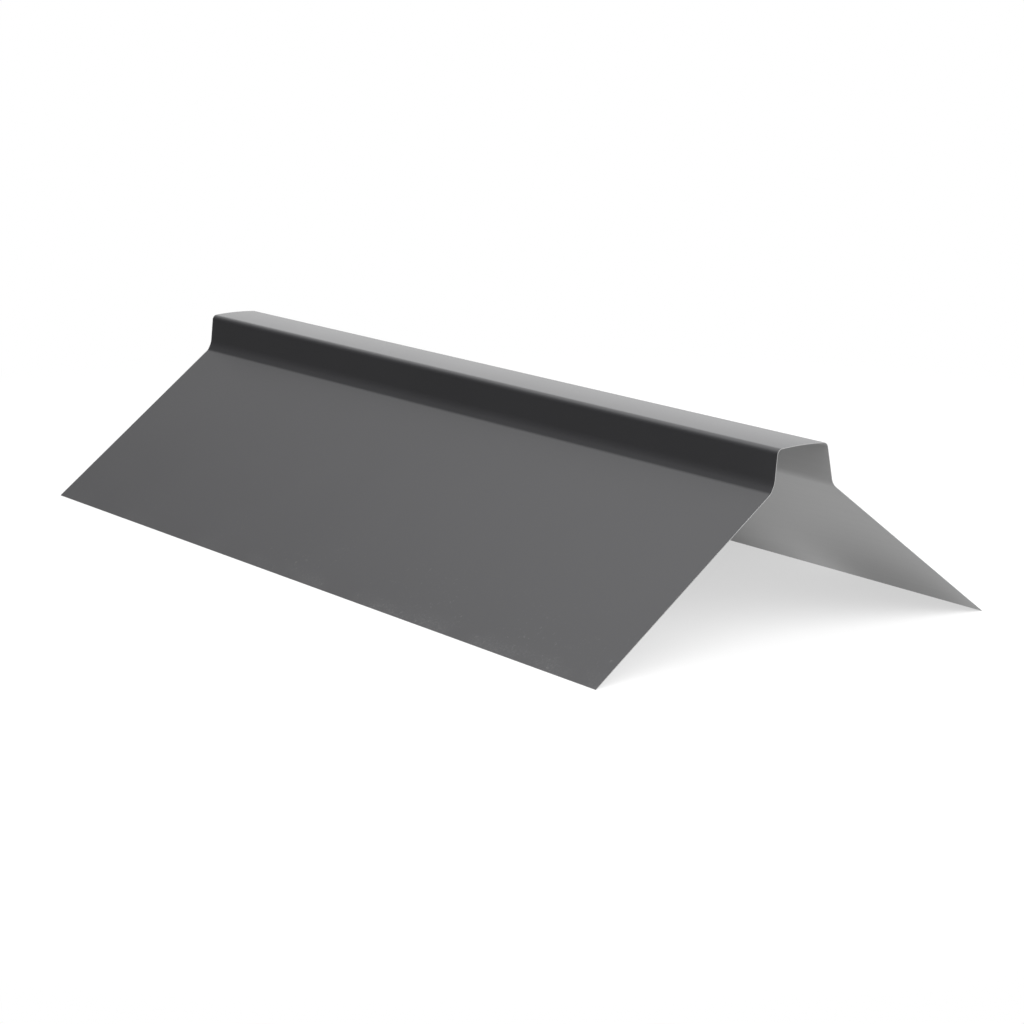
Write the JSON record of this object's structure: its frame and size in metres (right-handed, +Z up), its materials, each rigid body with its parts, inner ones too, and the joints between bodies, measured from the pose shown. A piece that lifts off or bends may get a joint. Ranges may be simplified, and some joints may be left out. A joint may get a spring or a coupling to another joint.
{
  "type": "ridge cap",
  "caption": "Straight roof ridge cap folded from one coated steel sheet, with a low raised crown on leaning upstands and a wide flat wing on each side.",
  "frame": {"origin": "middle of the base, at the level of the two wings' lower edges", "axes": "+X along the ridge, +Y across it, +Z up through the crown"},
  "size_m": [1, 0.4716, 0.1911],
  "materials": {
    "coated_steel": "satin coil coating, dark grey on top and lighter grey backing coat underneath, bare cut edges"
  },
  "bodies": {
    "root": {"ridge_cap": "coated_steel"}
  },
  "joints": []
}
